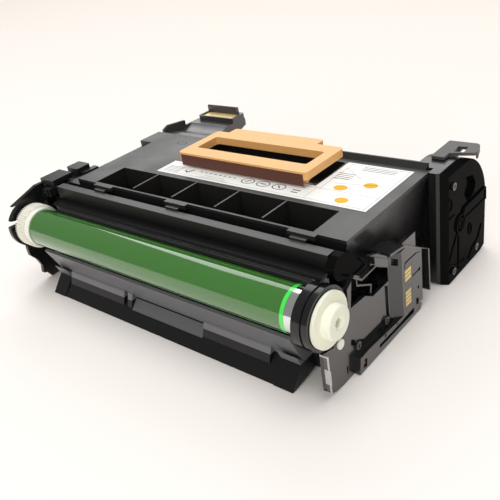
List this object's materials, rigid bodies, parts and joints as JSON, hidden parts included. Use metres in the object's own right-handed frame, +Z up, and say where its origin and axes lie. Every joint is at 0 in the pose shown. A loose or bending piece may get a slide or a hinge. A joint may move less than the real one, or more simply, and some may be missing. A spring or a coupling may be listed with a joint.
{
  "type": "printer_drum_unit",
  "caption": "Black printer drum unit with a green coated drum, white drive hub and gear, a row of deck cells, a folding orange handle and a plain label.",
  "frame": {"origin": "Centre of the bounding box in X and Y, on the surface the unit stands on.", "axes": "+X along the drum, from the gear end to the drive hub end. -Y is the drum side. +Z is up."},
  "size_m": [0.29, 0.2064, 0.092],
  "materials": {
    "black_plastic": "moulded satin",
    "black_cover": "fine grain",
    "black_gear": "satin",
    "drum_coating": "gloss",
    "white_plastic": "satin",
    "orange_plastic": "satin",
    "steel": "brushed",
    "gold_board": "satin",
    "label_paper": "semi gloss",
    "blade_rubber": "matt",
    "roller_rubber": "matt",
    "developer_sleeve": "blasted",
    "grey_plastic": "satin"
  },
  "bodies": {
    "housing": {"gear_pin": "steel", "hub_ring": "black_gear", "left_end_frame": "black_plastic", "main_housing": "black_plastic", "top_cover": "black_cover", "front_beam": "black_cover", "beam_end_cap": "black_plastic", "blade_bracket": "steel", "cleaning_blade": "blade_rubber", "lower_tray": "black_plastic", "charge_bearing_left": "white_plastic", "charge_bearing_right": "white_plastic", "charge_spring_left": "steel", "charge_spring_right": "steel", "doctor_blade": "steel", "right_side_plate": "black_plastic", "chip_upper": "gold_board", "chip_lower": "gold_board", "contact_strip": "steel", "contact_pin": "white_plastic", "handle_rod": "steel", "label_sheet": "label_paper", "rear_gear_housing": "black_plastic", "gear_housing_cover": "black_plastic", "left_contact_arm": "black_plastic", "contact_board": "gold_board", "rear_feet": "black_plastic", "side_screws": "steel", "cover_screws": "steel"},
    "drum": {"drum_tube": "drum_coating", "drum_gear": "white_plastic", "drum_hub": "white_plastic"},
    "charge": {"charge_roller": "roller_rubber", "charge_shaft": "steel"},
    "developer": {"developer_roller": "developer_sleeve", "developer_gear": "white_plastic"},
    "waste": {"waste_auger": "black_gear", "waste_gear": "black_gear"},
    "front_mixer": {"mixing_auger_front": "black_gear", "mixing_gear_left": "black_gear", "mixing_gear_front": "white_plastic"},
    "rear_mixer": {"mixing_auger_rear": "black_gear", "mixing_gear_rear": "white_plastic"},
    "handle": {"carry_handle": "orange_plastic"},
    "shutter": {"port_shutter": "grey_plastic"}
  },
  "joints": [
    {"name": "drum_spin", "type": "hinge", "parent": "housing", "child": "drum", "pos_m": [-0.005, -0.08475, 0.05], "axis": [1, 0, 0], "continuous": true},
    {"name": "charge_spin", "type": "hinge", "parent": "housing", "child": "charge", "pos_m": [-0.005, -0.08073, 0.03107], "axis": [1, 0, 0], "continuous": true},
    {"name": "developer_spin", "type": "hinge", "parent": "housing", "child": "developer", "pos_m": [-0.005, -0.06563, 0.04304], "axis": [1, 0, 0], "continuous": true},
    {"name": "waste_spin", "type": "hinge", "parent": "housing", "child": "waste", "pos_m": [-0.005, -0.06395, 0.06511], "axis": [1, 0, 0], "continuous": true},
    {"name": "front_mixer_spin", "type": "hinge", "parent": "housing", "child": "front_mixer", "pos_m": [-0.005, -0.05209, 0.03168], "axis": [1, 0, 0], "continuous": true},
    {"name": "rear_mixer_spin", "type": "hinge", "parent": "housing", "child": "rear_mixer", "pos_m": [-0.005, -0.03253, 0.02752], "axis": [1, 0, 0], "continuous": true},
    {"name": "handle_lift", "type": "hinge", "parent": "housing", "child": "handle", "pos_m": [0.0135, 0.03825, 0.0852], "axis": [-1, 0, 0], "range_deg": [0, 85]},
    {"name": "shutter_slide", "type": "slide", "parent": "housing", "child": "shutter", "axis": [0, 1, 0], "range_m": [0, 0.008]}
  ],
  "couplings": [
    {"joint": "charge_spin", "follows": "drum_spin", "ratio": -2.8},
    {"joint": "developer_spin", "follows": "drum_spin", "ratio": -3.75},
    {"joint": "waste_spin", "follows": "drum_spin", "ratio": -1.6667},
    {"joint": "front_mixer_spin", "follows": "drum_spin", "ratio": 1.2},
    {"joint": "rear_mixer_spin", "follows": "drum_spin", "ratio": -1.2}
  ]
}
